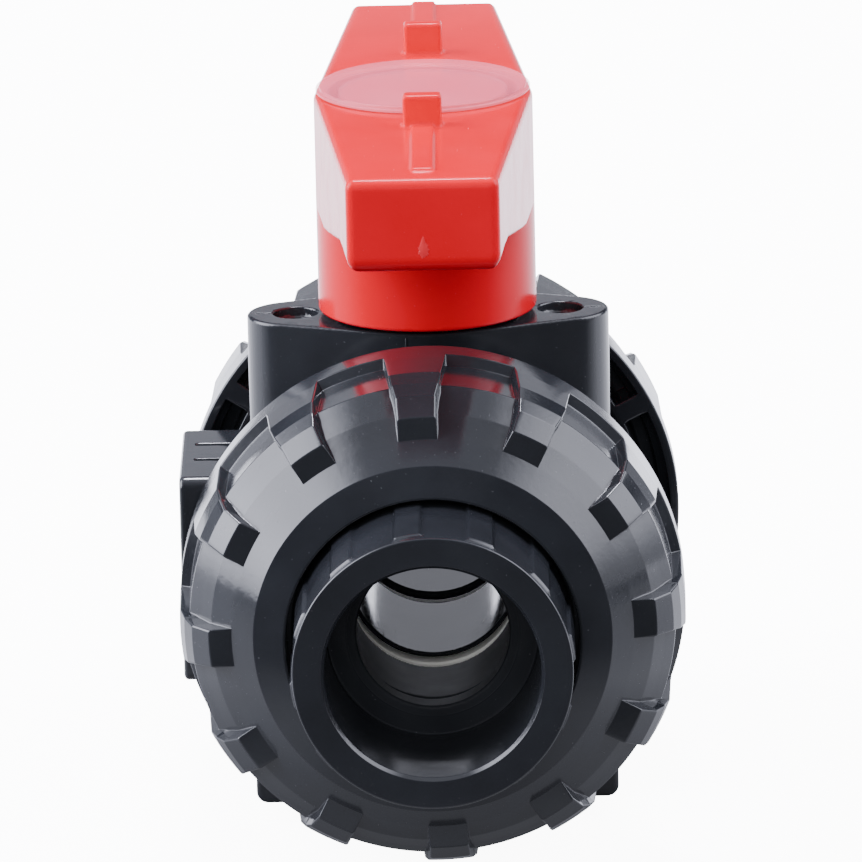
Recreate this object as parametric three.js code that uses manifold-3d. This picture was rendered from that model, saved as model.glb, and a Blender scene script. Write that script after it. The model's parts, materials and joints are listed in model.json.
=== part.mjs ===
// Double-union ball valve for 32 mm solvent-weld plastic pipe (DN25).
// Millimetres, +Z up. The pipe runs along Y, the stem turns about Z, and the
// origin is where the two axes cross, at the centre of the ball. The valve is
// shown open, with the seat carrier on the -Y side.

import * as THREE from 'three';
import { mergeVertices } from 'three/addons/utils/BufferGeometryUtils.js';
import Module from 'manifold-3d';

const wasm = await Module();
wasm.setup();

// ---------------------------------------------------------------- dimensions

const GAP = 0.3;                 // air left between pieces that touch
const TURN = 2 * Math.PI;
const ROUND = 36;                // facets around the large turned pieces
const SEAL_ROUND = 28;           // facets around the large seal rings
const SMALL_ROUND = 24;          // facets around the stem and its seals

// pipe line
const BORE_R = 12.5;             // ball bore
const PORT_R = 12.7;             // bore of body, carrier and connectors
const SOCKET_R = 16.15;          // solvent socket for 32 mm pipe
const SOCKET_DEPTH = 22;
const CONNECTOR_R = 20.9;
const CONNECTOR_FACE = 67.9;     // |y| of the pipe end faces
const FLANGE_R = 26.8;
const FLANGE_THICK = 5.2;

// body
const BODY_END = 37.5;           // |y| of the two end faces
const THREAD_R = 30.2;           // crest of the union thread
const BARREL_R = 31.5;
const BARREL_HALF = 20.6;
const CHAMBER_R = 20.4;
const CHAMBER_REAR = 9.9;
const SEAT_POCKET_R = 18.7;
const SEAT_POCKET_END = 20.5;
const CARRIER_BORE_R = 26;
const CARRIER_BORE_END = 14.7;

// mounting ears on top of the body
const EAR_TOP = 38.1;
const EAR_HOLE_X = 20.24;
const EAR_TIP_R = 7.42;
const NECK_R = 14.7;
const EAR_BORE_R = 3.45;
const EAR_BORE_DEPTH = 6;
const EAR_PILOT_R = 2.1;
const EAR_PILOT_DEPTH = 16;

// foot and side pad
const PAD_HALF_LENGTH = 15;      // both run this far each way along the pipe
const FOOT_HALF_WIDTH = 27.8;
const FOOT_BOTTOM = -35.8;
const FOOT_TOP = -16;
const SIDE_PAD_FACE = -38.4;
const SIDE_PAD_ROOT = -22;
const SIDE_PAD_HALF_HEIGHT = 16.1;
const PAD_CORNER_R = 1.8;
const SLOT = { width: 1, deep: 3, outer: -36.2, inner: -30.5, places: [5.2, -3.5] };

// ball, seats and seals
const BALL_R = 19;
const SLOT_FLOOR = 15;
const SLOT_WIDTH = 6;
const SEAT_BACK = 17.5;
const SEAT_OUTER_R = 18.4;
const SEAT_INNER_R = 13;
const CUSHION = { radius: 15.6, section: 1.2, y: 19 };
const CARRIER_R = 25.6;
const CARRIER_FRONT = 37.3;
const CARRIER_BACK = 15;
const CARRIER_SEAL = { radius: 24.15, section: 1.35, y: 20 };
const FACE_SEAL = { radius: 18.8, section: 1.25, y: 39.3 };

// stem
const STEM_R = 7;
const STEM_BORE_R = 7.4;
const COLLAR_R = 9.1;
const COLLAR_BORE_R = 9.5;
const COLLAR_BOTTOM = 19.4;
const COLLAR_TOP = 21.65;
const COLLAR_SEAT = 23.4;        // shoulder in the body that stops the collar
const STEM_SEAL = { radius: 6, section: 1.15, heights: [27.5, 33] };
const SEAL_GROOVE_R = 4.6;
const SEAL_GROOVE_WIDTH = 3;
const DRIVE_SIDE = 9.6;          // square end that the handle drives
const STEM_TOP = 66;
const TANG = { length: 13, width: 5.4, bottom: 15.4 };

// quarter-turn stops between body and handle
const STOP = { inner: 9.9, outer: 13.4, top: 42.4, halfAngle: 21.5 * Math.PI / 180 };

// handle
const HUB_R = 16.67;
const HUB_BOTTOM = 38.9;
const HANDLE_TOP = 72.95;
const HUB_BOSS_R = 9.6;
const HUB_SKIRT_R = 13.8;
const HUB_HOLLOW_TOP = 57;
const WING_END = 58.1;
const WING_END_HALF = 11.3;
const WING_END_BOTTOM = 58.6;
const WING_KNEE = { y: 42, z: 59.2 };
const WING_ROOT = { y: 14, z: 54.6 };
const LUG = { halfWidth: 2.95, inner: 22.2, outer: 25.2, top: 77.85 };
const TONGUE = { halfWidth: 1.75, top: 73.4, nearEnd: 52.5, farEnd: 57.4 };
const CAP_R = 16.34;
const CAP_TOP = 73.85;
const CAP_THICK = 0.9;
const CAP_BEVEL = 0.4;
const CAP_SKIRT = { inner: 12.9, outer: 14.3, bottom: 69.8 };

// union nut
const NUT_R = 38.3;              // over the grip ribs and the rear rim
const NUT_HOLE_R = 22;
const NUT_NOSE = 51.3;           // |y| of the front face
const NUT_REAR = 21.8;           // |y| of the rear rim
const NUT_RIM_FRONT = 27;
const NUT_BORE_R = 30.6;
const NUT_BORE_END = 40;         // where the bore starts to taper in to the shoulder
const NUT_SHOULDER = 43.3;
const NUT_SHOULDER_R = 27.3;
const NUT_POCKET_R = 36.8;       // between the ribs
const RIBS = 12;
const RIB_WIDTH = 7;
const RIB_NOSE = 46.3;           // |y| of the flat front end of each rib
const RIB_OFFSET = 3 * Math.PI / 180;

// ----------------------------------------------------------------- materials

function plastic(color, roughness = 0.35) {
  return new THREE.MeshStandardMaterial({ color, roughness, metalness: 0 });
}

const GREY_PVC = plastic(0x3c3f45);
const RED_ABS = plastic(0xd8101c, 0.3);
const WHITE_PTFE = plastic(0xe9e9e4, 0.6);
const BLACK_RUBBER = plastic(0x17181a, 0.8);
const STEM_PVC = plastic(0x34373c, 0.4);
const CLEAR_CAP = new THREE.MeshStandardMaterial({
  color: 0xf2f2f4, roughness: 0.25, metalness: 0, transparent: true, opacity: 0.4,
});

// ------------------------------------------------------------------- helpers

// A closed three.js geometry as a manifold solid, its faces turned outwards.
function solid(geometry) {
  geometry.deleteAttribute('normal');
  geometry.deleteAttribute('uv');
  const merged = mergeVertices(geometry, 1e-4);
  const corners = merged.index.array;
  const triangles = [];
  for (let i = 0; i < corners.length; i += 3) {
    const [a, b, c] = [corners[i], corners[i + 1], corners[i + 2]];
    if (a !== b && b !== c && c !== a) triangles.push(a, b, c);
  }
  if (volume(merged.attributes.position, triangles) < 0) triangles.reverse();
  return new wasm.Manifold(new wasm.Mesh({
    numProp: 3,
    vertProperties: new Float32Array(merged.attributes.position.array),
    triVerts: new Uint32Array(triangles),
  }));
}

function volume(position, triangles) {
  const [a, b, c] = [new THREE.Vector3(), new THREE.Vector3(), new THREE.Vector3()];
  let sum = 0;
  for (let i = 0; i < triangles.length; i += 3) {
    a.fromBufferAttribute(position, triangles[i]);
    b.fromBufferAttribute(position, triangles[i + 1]);
    c.fromBufferAttribute(position, triangles[i + 2]);
    sum += a.dot(b.cross(c)) / 6;
  }
  return sum;
}

function join(...solids) {
  return solids.reduce((sum, next) => sum.add(next));
}

// Turned about the pipe axis: a list of [radius, y] corners, closed on itself
// unless it starts and ends on the axis.
function turned(profile, facets = ROUND) {
  const points = profile.map(([r, y]) => new THREE.Vector2(r, y));
  const onAxis = profile[0][0] === 0;
  if (!onAxis) points.push(points[0].clone());
  return new THREE.LatheGeometry(points, facets);
}

// Turned about the stem axis: a list of [radius, z] corners.
function turnedUp(profile, facets = SMALL_ROUND) {
  return turned(profile, facets).rotateX(Math.PI / 2);
}

function box(x0, x1, y0, y1, z0, z1) {
  const block = new THREE.BoxGeometry(x1 - x0, y1 - y0, z1 - z0);
  return block.translate((x0 + x1) / 2, (y0 + y1) / 2, (z0 + z1) / 2);
}

function upright(radius, z0, z1, facets = SMALL_ROUND) {
  return turnedUp([[0, z0], [radius, z0], [radius, z1], [0, z1]], facets);
}

function extruded(shape, depth, curveSegments = 8) {
  return new THREE.ExtrudeGeometry(shape, { depth, bevelEnabled: false, curveSegments });
}

function roundedRectangle(halfWidth, halfHeight, r) {
  const shape = new THREE.Shape();
  shape.absarc(halfWidth - r, halfHeight - r, r, 0, TURN / 4);
  shape.absarc(r - halfWidth, halfHeight - r, r, TURN / 4, TURN / 2);
  shape.absarc(r - halfWidth, r - halfHeight, r, TURN / 2, 3 * TURN / 4);
  shape.absarc(halfWidth - r, r - halfHeight, r, 3 * TURN / 4, TURN);
  return shape;
}

// A block of a ring around the stem axis, centred on one angle.
function ringSector(inner, outer, z0, z1, centre, halfAngle) {
  const shape = new THREE.Shape();
  shape.absarc(0, 0, outer, centre - halfAngle, centre + halfAngle, false);
  shape.absarc(0, 0, inner, centre + halfAngle, centre - halfAngle, true);
  return extruded(shape, z1 - z0, 6).translate(0, 0, z0);
}

// A ring of round section about the pipe axis.
function sealRing({ radius, section, y }, side) {
  return new THREE.TorusGeometry(radius, section, 6, SEAL_ROUND).rotateX(Math.PI / 2)
    .translate(0, side * y, 0);
}

function atEnd(profile, side) {
  return profile.map(([r, y]) => [r, side * y]);
}

function piece(name, shape, material) {
  const mesh = shape.getMesh();
  const geometry = new THREE.BufferGeometry();
  geometry.setAttribute('position', new THREE.BufferAttribute(mesh.vertProperties, 3));
  geometry.setIndex(new THREE.BufferAttribute(mesh.triVerts, 1));
  geometry.computeVertexNormals();
  const node = new THREE.Mesh(geometry, material);
  node.name = name;
  return node;
}

// ---------------------------------------------------------------------- body

// Plan of the top pad: a round neck drawn out to a rounded ear on each side.
function earPlan() {
  const tangent = Math.acos((NECK_R - EAR_TIP_R) / EAR_HOLE_X);
  const shape = new THREE.Shape();
  shape.absarc(EAR_HOLE_X, 0, EAR_TIP_R, -tangent, tangent);
  shape.absarc(0, 0, NECK_R, tangent, Math.PI - tangent);
  shape.absarc(-EAR_HOLE_X, 0, EAR_TIP_R, Math.PI - tangent, Math.PI + tangent);
  shape.absarc(0, 0, NECK_R, Math.PI + tangent, TURN - tangent);
  return shape;
}

function barrel() {
  const half = [[0, BODY_END], [THREAD_R - 1, BODY_END], [THREAD_R, BODY_END - 1],
    [THREAD_R, BARREL_HALF], [BARREL_R, BARREL_HALF]];
  return solid(turned([...atEnd(half, -1), ...half.reverse()]));
}

function flowSpace() {
  const past = BODY_END + 1;
  return solid(turned([[0, -past], [CARRIER_BORE_R, -past], [CARRIER_BORE_R, -CARRIER_BORE_END],
    [CHAMBER_R, -CARRIER_BORE_END], [CHAMBER_R, CHAMBER_REAR], [SEAT_POCKET_R, CHAMBER_REAR],
    [SEAT_POCKET_R, SEAT_POCKET_END], [PORT_R, SEAT_POCKET_END], [PORT_R, past], [0, past]]));
}

function stemSpace() {
  const past = EAR_TOP + 1;
  const inBall = BALL_R / 2;
  return solid(turnedUp([[0, inBall], [COLLAR_BORE_R, inBall], [COLLAR_BORE_R, COLLAR_SEAT],
    [STEM_BORE_R, COLLAR_SEAT], [STEM_BORE_R, past], [0, past]]));
}

function earHole(side) {
  const past = EAR_TOP + 1;
  const floor = EAR_TOP - EAR_BORE_DEPTH;
  const hole = turnedUp([[0, EAR_TOP - EAR_PILOT_DEPTH], [EAR_PILOT_R, EAR_TOP - EAR_PILOT_DEPTH],
    [EAR_PILOT_R, floor], [EAR_BORE_R, floor], [EAR_BORE_R, past], [0, past]]);
  return solid(hole.translate(side * EAR_HOLE_X, 0, 0));
}

function foot() {
  const halfHeight = (FOOT_TOP - FOOT_BOTTOM) / 2;
  const block = extruded(roundedRectangle(FOOT_HALF_WIDTH, halfHeight, PAD_CORNER_R),
    2 * PAD_HALF_LENGTH, 4);
  block.rotateX(Math.PI / 2).translate(0, PAD_HALF_LENGTH, FOOT_BOTTOM + halfHeight);
  return solid(block);
}

function sidePad() {
  const block = extruded(roundedRectangle(PAD_HALF_LENGTH, SIDE_PAD_HALF_HEIGHT, PAD_CORNER_R),
    SIDE_PAD_ROOT - SIDE_PAD_FACE, 4);
  block.rotateX(Math.PI / 2).rotateZ(Math.PI / 2).translate(SIDE_PAD_FACE, 0, 0);
  return solid(block);
}

function padSlot(y) {
  const top = SIDE_PAD_HALF_HEIGHT;
  return solid(box(SLOT.outer, SLOT.inner, y - SLOT.width / 2, y + SLOT.width / 2,
    top - SLOT.deep, top + 1));
}

function stopBlock(centre) {
  return solid(ringSector(STOP.inner, STOP.outer, EAR_TOP - 1, STOP.top, centre, STOP.halfAngle));
}

function body() {
  const ears = solid(extruded(earPlan(), EAR_TOP));
  let shape = join(barrel(), ears, foot(), sidePad(), stopBlock(0), stopBlock(Math.PI));
  const cuts = [flowSpace(), stemSpace(), earHole(1), earHole(-1), ...SLOT.places.map(padSlot)];
  for (const cut of cuts) shape = shape.subtract(cut);
  return piece('body', shape, GREY_PVC);
}

// ------------------------------------------------------------ ball and seats

function ball() {
  const end = Math.acos(BORE_R / BALL_R);
  const steps = 12;
  const profile = [];
  for (let i = 0; i <= steps; i += 1) {
    const angle = end * (2 * i / steps - 1);
    profile.push([BALL_R * Math.cos(angle), BALL_R * Math.sin(angle)]);
  }
  const slot = box(-BALL_R, BALL_R, -SLOT_WIDTH / 2, SLOT_WIDTH / 2, SLOT_FLOOR, BALL_R + 1);
  return piece('ball', solid(turned(profile)).subtract(solid(slot)), GREY_PVC);
}

// The hollow face of the seat follows the ball at a small distance.
function seat(name, side) {
  const clear = BALL_R + GAP;
  const face = (r) => [r, Math.sqrt(clear * clear - r * r) + 0.05];
  const profile = [face(SEAT_INNER_R), face(14.8), face(16.4), [SEAT_OUTER_R, face(16.4)[1]],
    [SEAT_OUTER_R, SEAT_BACK], [SEAT_INNER_R, SEAT_BACK]];
  return piece(name, solid(turned(atEnd(profile, side))), WHITE_PTFE);
}

function seal(name, ring, side) {
  return piece(name, solid(sealRing(ring, side)), BLACK_RUBBER);
}

// Threaded ring that holds the front seat against the ball.
function seatCarrier() {
  const { y, section } = CARRIER_SEAL;
  const grooveFloor = CARRIER_SEAL.radius - section - 0.2;
  const grooveHalf = section + 0.25;
  let shape = solid(turned(atEnd([[PORT_R, CARRIER_FRONT], [PORT_R, SEAT_POCKET_END],
    [SEAT_POCKET_R, SEAT_POCKET_END], [SEAT_POCKET_R, CARRIER_BACK], [CARRIER_R, CARRIER_BACK],
    [CARRIER_R, y - grooveHalf], [grooveFloor, y - grooveHalf], [grooveFloor, y + grooveHalf],
    [CARRIER_R, y + grooveHalf], [CARRIER_R, CARRIER_FRONT]], -1)));
  const keyDepth = 6;
  const keyHalf = LUG.halfWidth + GAP;
  for (const side of [-1, 1]) {
    const slot = box(LUG.inner - GAP, CARRIER_R + 1, -CARRIER_FRONT - 1,
      keyDepth - CARRIER_FRONT, -keyHalf, keyHalf);
    if (side < 0) slot.rotateY(Math.PI);
    shape = shape.subtract(solid(slot));
  }
  return piece('seat_carrier', shape, GREY_PVC);
}

// ---------------------------------------------------------------------- stem

function stem() {
  const [low, high] = STEM_SEAL.heights;
  const half = SEAL_GROOVE_WIDTH / 2;
  const groove = (z) => [[STEM_R, z - half], [SEAL_GROOVE_R, z - half],
    [SEAL_GROOVE_R, z + half], [STEM_R, z + half]];
  const shaftTop = EAR_TOP + 0.5;
  const shaft = solid(turnedUp([[0, COLLAR_BOTTOM], [COLLAR_R, COLLAR_BOTTOM],
    [COLLAR_R, COLLAR_TOP], [STEM_R, COLLAR_TOP], ...groove(low), ...groove(high),
    [STEM_R, shaftTop], [0, shaftTop]]));
  const side = DRIVE_SIDE / 2;
  const drive = solid(box(-side, side, -side, side, shaftTop - 1, STEM_TOP));
  const tang = solid(box(-TANG.length / 2, TANG.length / 2, -TANG.width / 2, TANG.width / 2,
    TANG.bottom, COLLAR_BOTTOM + 0.5));
  return piece('stem', join(shaft, drive, tang), STEM_PVC);
}

function stemSeal(name, z) {
  const ring = new THREE.TorusGeometry(STEM_SEAL.radius, STEM_SEAL.section, 6, SMALL_ROUND);
  return piece(name, solid(ring.translate(0, 0, z)), BLACK_RUBBER);
}

function thrustWasher() {
  const bottom = COLLAR_TOP + GAP;
  const top = COLLAR_SEAT - GAP;
  const ring = turnedUp([[STEM_BORE_R + 0.1, bottom], [COLLAR_R, bottom], [COLLAR_R, top],
    [STEM_BORE_R + 0.1, top]]);
  return piece('stem_thrust_washer', solid(ring), WHITE_PTFE);
}

// -------------------------------------------------------------------- handle

// Two wings, seen from above: straight sides that run on into the round hub.
function wings() {
  const reach = Math.hypot(WING_END, WING_END_HALF);
  const lean = Math.asin(HUB_R / reach) - Math.atan2(WING_END_HALF, WING_END);
  const shape = new THREE.Shape();
  shape.moveTo(-WING_END_HALF, -WING_END);
  shape.lineTo(WING_END_HALF, -WING_END);
  shape.absarc(0, 0, HUB_R, -lean, lean);
  shape.lineTo(WING_END_HALF, WING_END);
  shape.lineTo(-WING_END_HALF, WING_END);
  shape.absarc(0, 0, HUB_R, Math.PI - lean, Math.PI + lean);
  const plan = solid(extruded(shape, HANDLE_TOP - 40).translate(0, 0, 40));
  return plan.intersect(wingSide());
}

// The same wings seen from the side, as wide as the hub.
function wingSide() {
  const shape = new THREE.Shape();
  shape.moveTo(-WING_END, WING_END_BOTTOM);
  shape.lineTo(-WING_KNEE.y, WING_KNEE.z);
  shape.lineTo(-WING_ROOT.y, WING_ROOT.z);
  shape.lineTo(WING_ROOT.y, WING_ROOT.z);
  shape.lineTo(WING_KNEE.y, WING_KNEE.z);
  shape.lineTo(WING_END, WING_END_BOTTOM);
  shape.lineTo(WING_END, HANDLE_TOP);
  shape.lineTo(-WING_END, HANDLE_TOP);
  const width = 2 * HUB_R + 2;
  const block = extruded(shape, width);
  return solid(block.rotateX(Math.PI / 2).rotateZ(Math.PI / 2).translate(-width / 2, 0, 0));
}

function hubHollow() {
  const bottom = HUB_BOTTOM - 1;
  return solid(turnedUp([[HUB_BOSS_R, bottom], [HUB_SKIRT_R, bottom],
    [HUB_SKIRT_R, HUB_HOLLOW_TOP], [HUB_BOSS_R, HUB_HOLLOW_TOP]]));
}

function stopFin(centre) {
  return solid(ringSector(HUB_BOSS_R - 0.3, HUB_SKIRT_R + 0.3, HUB_BOTTOM, HUB_HOLLOW_TOP + 0.5,
    centre, STOP.halfAngle));
}

// Keys on top: with the handle off and upside down, they turn the seat carrier.
function keyLug(side, tongueEnd) {
  const { halfWidth, inner, outer, top } = LUG;
  const root = HANDLE_TOP - 1;
  const lug = box(-halfWidth, halfWidth, inner, outer, root, top);
  const tongue = box(-TONGUE.halfWidth, TONGUE.halfWidth, outer - 1, tongueEnd, root, TONGUE.top);
  if (side < 0) {
    lug.rotateZ(Math.PI);
    tongue.rotateZ(Math.PI);
  }
  return join(solid(lug), solid(tongue));
}

function handle() {
  const socketHalf = DRIVE_SIDE / 2 + GAP;
  const recess = CAP_TOP - CAP_THICK - GAP;
  const hub = solid(upright(HUB_R, HUB_BOTTOM, HANDLE_TOP, ROUND));
  let shape = join(hub, wings(), keyLug(-1, TONGUE.nearEnd), keyLug(1, TONGUE.farEnd));
  const cuts = [
    hubHollow(),
    solid(box(-socketHalf, socketHalf, -socketHalf, socketHalf, HUB_BOTTOM - 1, STEM_TOP + 0.6)),
    solid(upright(HUB_R + 0.1, recess, HANDLE_TOP + 1, ROUND)),
    solid(turnedUp([[CAP_SKIRT.inner - GAP, CAP_SKIRT.bottom - GAP],
      [CAP_SKIRT.outer + GAP, CAP_SKIRT.bottom - GAP], [CAP_SKIRT.outer + GAP, HANDLE_TOP + 1],
      [CAP_SKIRT.inner - GAP, HANDLE_TOP + 1]])),
  ];
  for (const cut of cuts) shape = shape.subtract(cut);
  shape = join(shape, stopFin(3 * TURN / 8), stopFin(-TURN / 8));
  return piece('handle', shape, RED_ABS);
}

function clearCap() {
  const under = CAP_TOP - CAP_THICK;
  const { inner, outer, bottom } = CAP_SKIRT;
  const disc = turnedUp([[0, under], [inner, under], [inner, bottom], [outer, bottom],
    [outer, under], [CAP_R, under], [CAP_R, CAP_TOP - CAP_BEVEL], [CAP_R - CAP_BEVEL, CAP_TOP],
    [0, CAP_TOP]]);
  return piece('clear_cap', solid(disc), CLEAR_CAP);
}

// --------------------------------------------------------------------- union

// Solvent-weld end: a pipe socket with a flange that the nut pulls to the body.
function connector(name, side) {
  const face = BODY_END + GAP;
  const back = face + FLANGE_THICK;
  const floor = CONNECTOR_FACE - SOCKET_DEPTH;
  const grooveEnd = FACE_SEAL.y + FACE_SEAL.section + 0.25;
  const groove = FACE_SEAL.section + 0.35;
  const profile = [[PORT_R, face], [FACE_SEAL.radius - groove, face],
    [FACE_SEAL.radius - groove, grooveEnd], [FACE_SEAL.radius + groove, grooveEnd],
    [FACE_SEAL.radius + groove, face], [FLANGE_R, face], [FLANGE_R, back], [CONNECTOR_R, back],
    [CONNECTOR_R, CONNECTOR_FACE - 0.6], [CONNECTOR_R - 0.6, CONNECTOR_FACE],
    [SOCKET_R + 0.6, CONNECTOR_FACE], [SOCKET_R, CONNECTOR_FACE - 0.8],
    [SOCKET_R - 0.2, floor], [PORT_R, floor]];
  return piece(name, solid(turned(atEnd(profile, side))), GREY_PVC);
}

// One grip rib, drawn as radius against distance from the valve's centre.
function gripRib(angle) {
  const root = NUT_BORE_R + 2;
  const shape = new THREE.Shape();
  shape.moveTo(NUT_RIM_FRONT - 1, root);
  shape.lineTo(NUT_RIM_FRONT - 1, NUT_R);
  shape.lineTo(RIB_NOSE - 9.3, NUT_R);
  shape.lineTo(RIB_NOSE - 5.8, NUT_R - 0.9);
  shape.lineTo(RIB_NOSE - 3, NUT_R - 2.1);
  shape.lineTo(RIB_NOSE, NUT_R - 4.9);
  shape.lineTo(RIB_NOSE, root - 3.6);
  shape.lineTo(RIB_NOSE - 4.3, root);
  const rib = extruded(shape, RIB_WIDTH).translate(0, 0, -RIB_WIDTH / 2);
  return solid(rib.rotateZ(-Math.PI / 2).rotateY(-angle));
}

function nut(name, side) {
  const profile = [[NUT_HOLE_R, NUT_NOSE - 0.4], [NUT_HOLE_R + 0.4, NUT_NOSE], [24.6, 50.7],
    [26.9, 49.6], [29.4, 46.8], [33.2, 43.0], [NUT_POCKET_R - 0.2, 39],
    [NUT_POCKET_R, NUT_RIM_FRONT], [NUT_R, NUT_RIM_FRONT], [NUT_R, NUT_REAR + 0.6],
    [NUT_R - 0.6, NUT_REAR], [NUT_BORE_R, NUT_REAR], [NUT_BORE_R, NUT_BORE_END],
    [NUT_SHOULDER_R, NUT_SHOULDER], [NUT_HOLE_R, NUT_SHOULDER]];
  let shape = solid(turned(atEnd(profile, -1)));
  for (let i = 0; i < RIBS; i += 1) {
    shape = shape.add(gripRib(TURN * i / RIBS + RIB_OFFSET));
  }
  const node = piece(name, shape, GREY_PVC);
  if (side > 0) node.rotation.z = Math.PI;
  return node;
}

// ------------------------------------------------------------------ assembly

const valve = new THREE.Group();
valve.name = 'union_ball_valve';
valve.add(
  body(),
  ball(),
  seat('seat_front', -1),
  seat('seat_rear', 1),
  seal('seat_cushion_ring_front', CUSHION, -1),
  seal('seat_cushion_ring_rear', CUSHION, 1),
  seatCarrier(),
  seal('seat_carrier_o_ring', CARRIER_SEAL, -1),
  stem(),
  stemSeal('stem_o_ring_lower', STEM_SEAL.heights[0]),
  stemSeal('stem_o_ring_upper', STEM_SEAL.heights[1]),
  thrustWasher(),
  handle(),
  clearCap(),
  connector('end_connector_front', -1),
  connector('end_connector_rear', 1),
  seal('connector_o_ring_front', FACE_SEAL, -1),
  seal('connector_o_ring_rear', FACE_SEAL, 1),
  nut('union_nut_front', -1),
  nut('union_nut_rear', 1),
);

export default valve;
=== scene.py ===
"""Looks of a double-union ball valve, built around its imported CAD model.

Shapes are worked out in millimetres in the CAD's frame: the pipe runs along Y,
the stem stands along Z and the ball's centre is the origin. Every mesh is
scaled to metres as it is made.
"""

import json
import math

import bmesh
import bpy
import numpy as np
from mathutils import Matrix, Vector


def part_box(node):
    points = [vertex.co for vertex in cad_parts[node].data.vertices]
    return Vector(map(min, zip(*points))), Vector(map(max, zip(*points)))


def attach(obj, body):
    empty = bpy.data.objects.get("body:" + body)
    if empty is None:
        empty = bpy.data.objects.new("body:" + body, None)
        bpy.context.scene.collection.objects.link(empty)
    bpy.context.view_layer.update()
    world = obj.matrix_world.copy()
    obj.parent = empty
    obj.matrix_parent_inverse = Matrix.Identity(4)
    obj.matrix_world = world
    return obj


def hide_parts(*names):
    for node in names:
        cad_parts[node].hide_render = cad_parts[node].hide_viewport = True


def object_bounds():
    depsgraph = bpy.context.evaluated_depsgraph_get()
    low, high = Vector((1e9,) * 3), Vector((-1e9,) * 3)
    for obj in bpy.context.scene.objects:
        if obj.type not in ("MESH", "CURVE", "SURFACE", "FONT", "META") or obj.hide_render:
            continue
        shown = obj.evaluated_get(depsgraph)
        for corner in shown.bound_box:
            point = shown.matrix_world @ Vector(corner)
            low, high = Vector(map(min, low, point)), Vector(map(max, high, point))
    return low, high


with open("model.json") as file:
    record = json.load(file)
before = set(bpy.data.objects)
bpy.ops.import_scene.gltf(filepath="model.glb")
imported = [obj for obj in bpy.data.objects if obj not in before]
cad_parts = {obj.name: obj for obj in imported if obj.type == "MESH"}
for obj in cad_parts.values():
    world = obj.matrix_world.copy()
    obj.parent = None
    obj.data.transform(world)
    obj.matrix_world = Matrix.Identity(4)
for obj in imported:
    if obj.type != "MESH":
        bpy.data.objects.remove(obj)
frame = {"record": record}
cad_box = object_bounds()

MM = 0.001
TAU = 2 * math.pi


def node_box(name):
    """Lowest and highest corner of a CAD node, in millimetres."""
    low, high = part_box(name)
    return np.array(low) / MM, np.array(high) / MM


# ------------------------------------------------------------ driving sizes
# The boxes of the CAD nodes give the places; the rest are wall thicknesses,
# fillets and rib sizes that only the looks need.

BODY_LOW, BODY_HIGH = node_box("body")
HANDLE_LOW, HANDLE_HIGH = node_box("handle")
CONNECTOR_LOW, CONNECTOR_HIGH = node_box("end_connector_front")
CAP_LOW, CAP_HIGH = node_box("clear_cap")
CARRIER_LOW, CARRIER_HIGH = node_box("seat_carrier")
STEM_LOW, STEM_HIGH = node_box("stem")

EDGE_R = 0.3                                                 # an ordinary moulded edge
BLUNT_R = 0.7                                                # the edges of the barrel and the pads
PAD_FILLET = 1.2                                             # where a pad meets the barrel
FLASH = (0.34, 0.11)                                         # a parting line's width and height
FLASH_X = -3.3                                               # place of the ones up the neck
GATE_HEIGHT = 62.3
FIT_GAP = 0.3                                                # air between pieces that touch

BALL_R = node_box("ball")[1][0]
BORE_R = 12.5
PORT_R = 12.7
SLOT_WIDTH = 6
SLOT_FLOOR = 15
BODY_END = BODY_HIGH[1]
PITCH = 4.0
THREAD_CREST = 30.2
THREAD_ROOT = 28.7
BARREL_R = 31.5
BARREL_HALF = 20.6
CHAMBER_R = 20.4
CHAMBER_REAR = 9.9
SEAT_POCKET_R = 18.7
SEAT_POCKET_END = 20.5
CARRIER_BORE_R = 26
CARRIER_BORE_END = 14.7

EAR_TOP = 38.1
EAR_HOLE_X = 20.24
EAR_TIP_R = 7.42
EAR_FILLET = 1.4
NECK_R = 14.7
EAR_BORE_R = 3.45
EAR_BORE_DEPTH = 1.45
EAR_SLEEVE_R = 2.9
EAR_SLEEVE_DEPTH = 6
EAR_PILOT_R = 2.1
EAR_PILOT_DEPTH = 16
PAD_HALF_LENGTH = 15
PAD_CORNER_R = 1.8
FOOT_HALF_WIDTH = 27.8
FOOT_TOP = -16
SIDE_PAD_ROOT = -22
SIDE_PAD_HALF_HEIGHT = 16.1
SIDE_PAD_SLOT_X = (-36.2, -30.5)
PAD_SLOTS = (5.2, -3.5)                                      # y
PAD_SLOT_HALF = 0.5
PAD_SLOT_DEPTH = 3
STOP_RADII = (9.9, 13.4)
STOP_HALF_ANGLE = math.radians(21.5)

STEM_R = 7
STEM_BORE_R = 7.4
COLLAR_BORE_R = 9.5
COLLAR_BOTTOM = 19.4
COLLAR_TOP = 21.65
COLLAR_SEAT = 23.4
DRIVE_SIDE = 9.6
TANG = (13, 5.4)
STEM_SEAL_HEIGHTS = (27.5, 33)
STEM_GROOVE_R = 4.6
STEM_GROOVE_HALF = 1.5

SEAT_RADII = (13, 18.4)
SEAT_FACE_R = 16.4
SEAT_BACK = 17.5
CARRIER_SEAL_Y = 20
CARRIER_GROOVE_R = 22.6
CARRIER_GROOVE_HALF = 1.6
CARRIER_KEY_DEPTH = 6

# O-rings: radius to the middle of the section, section radius, and place along the pipe
CUSHION_RING = (15.6, 1.2, 19)
CONNECTOR_RING = (18.8, 1.25, 39.3)
CARRIER_RING = (24.15, 1.35, -CARRIER_SEAL_Y)
STEM_RING = (6.0, 1.15)

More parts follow.
